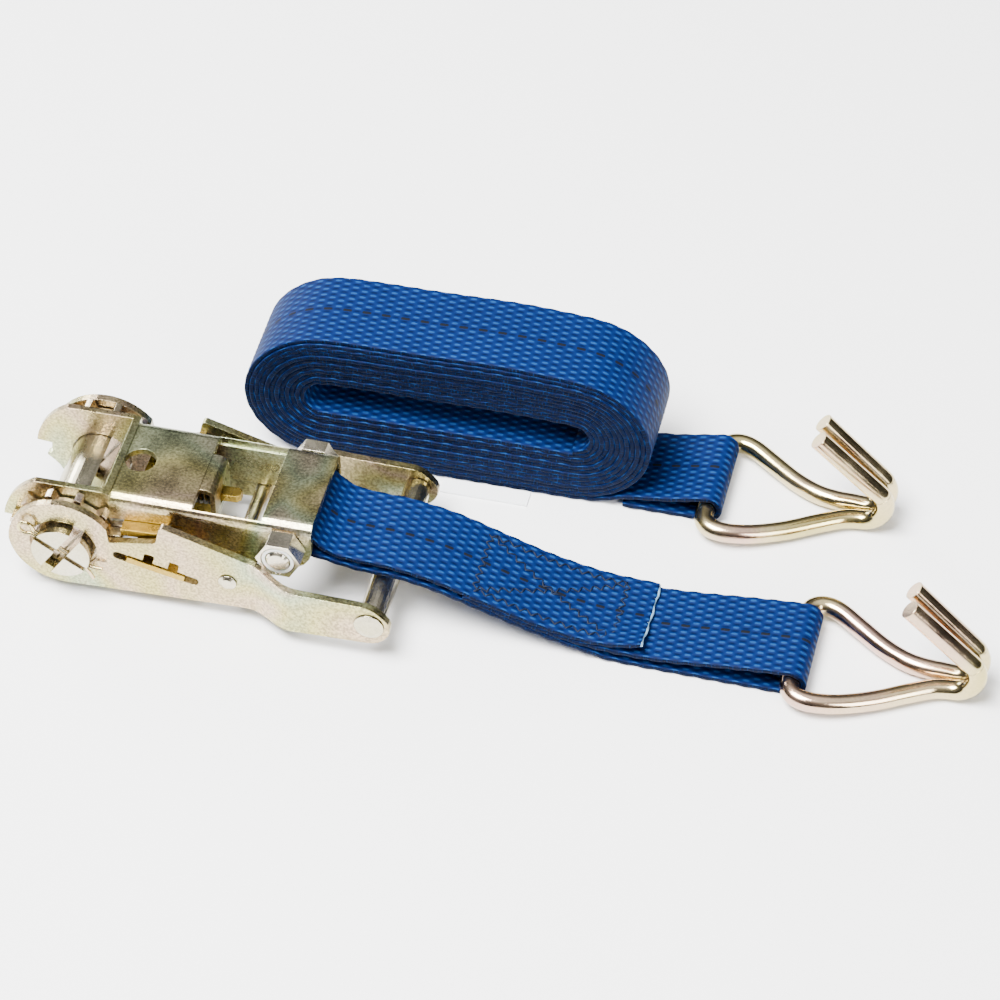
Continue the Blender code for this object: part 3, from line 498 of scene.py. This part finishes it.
def wire_hook(name, bar, lean, node):
    """A smooth round wire along the hook's route from its bar, with plain cut ends."""
    run = [(bar[0] + x, bar[1] + y - lean * x, bar[2] + z) for x, y, z in smooth_line(hook_route(), 8)]
    made = strands(name, [run], WIRE_RADIUS, WIRE, roundness=8)
    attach(made, node)
    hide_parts(node)


wire_hook("short_wire_hook", (SHORT_BAR[0], -SHORT_LEAN * (SHORT_BAR[0] - BOLT[0]), SHORT_BAR[1]), SHORT_LEAN,
          "short_hook")
wire_hook("long_wire_hook", (LONG_BAR[0], LONG_BAR_Y, LONG_BAR[1]), 0.0, "long_hook")


# ---- stage, in metres -----------------------------------------------------------------------------------------

def floor_sheet():
    """Seamless white studio card."""
    made, tree = new_material("Matt white card")
    shader = add(tree, "ShaderNodeBsdfPrincipled", {"Base Color": linear("f4f4f4"), "Roughness": 0.9})
    add(tree, "ShaderNodeOutputMaterial", {"Surface": shader})
    mesh = bpy.data.meshes.new("floor")
    mesh.from_pydata([(-4, -4, 0), (4, -4, 0), (4, 4, 0), (-4, 4, 0)], [], [(0, 1, 2, 3)])
    mesh.materials.append(made)
    floor = bpy.data.objects.new("floor", mesh)
    bpy.context.scene.collection.objects.link(floor)


def softbox(name, position, size, power):
    """A soft light that faces the part."""
    light = bpy.data.lights.new(name, "AREA")
    light.shape = "RECTANGLE"
    light.size, light.size_y = size
    light.energy = power
    made = bpy.data.objects.new(name, light)
    made.location = position
    made.rotation_euler = (-Vector(position)).to_track_quat("-Z", "Y").to_euler()
    bpy.context.scene.collection.objects.link(made)


def studio():
    """A dim room that is darkest at the horizon, so polished metal gets dark streaks between its bright ones."""
    world = bpy.data.worlds.new("Studio")
    world.use_nodes = True
    tree = world.node_tree
    way = add(tree, "ShaderNodeTexCoord").outputs["Generated"]
    height = add(tree, "ShaderNodeSeparateXYZ", {"Vector": way}).outputs["Z"]
    walls = add(tree, "ShaderNodeValToRGB", {"Fac": height}, [
        (0.0, 0.02), (0.3, 0.03), (0.5, 0.09), (0.75, 0.16), (0.92, 1.0)])
    tree.links.new(walls.outputs["Color"], tree.nodes["Background"].inputs["Color"])
    tree.nodes["Background"].inputs["Strength"].default_value = 1.6
    bpy.context.scene.world = world


floor_sheet()
softbox("key", (-0.35, -0.35, 1.2), (0.8, 0.6), 90.0)
softbox("fill", (1.1, -0.9, 0.8), (0.5, 0.8), 22.0)
softbox("back", (-1.1, 0.9, 0.6), (0.4, 0.5), 14.0)
studio()

AIM = Vector((-0.00458, -0.00020, 0.0153))
AZIMUTH, ELEVATION, DISTANCE = math.radians(13.31), math.radians(44.99), 1.1
FOCAL_LENGTH = 156.3                  # millimetres
camera = bpy.data.objects.new("camera", bpy.data.cameras.new("camera"))
camera.data.lens = FOCAL_LENGTH
camera.location = AIM + DISTANCE * Vector((math.sin(AZIMUTH) * math.cos(ELEVATION),
                                           -math.cos(AZIMUTH) * math.cos(ELEVATION), math.sin(ELEVATION)))
camera.rotation_euler = (AIM - camera.location).to_track_quat("-Z", "Y").to_euler()
bpy.context.scene.collection.objects.link(camera)
bpy.context.scene.camera = camera
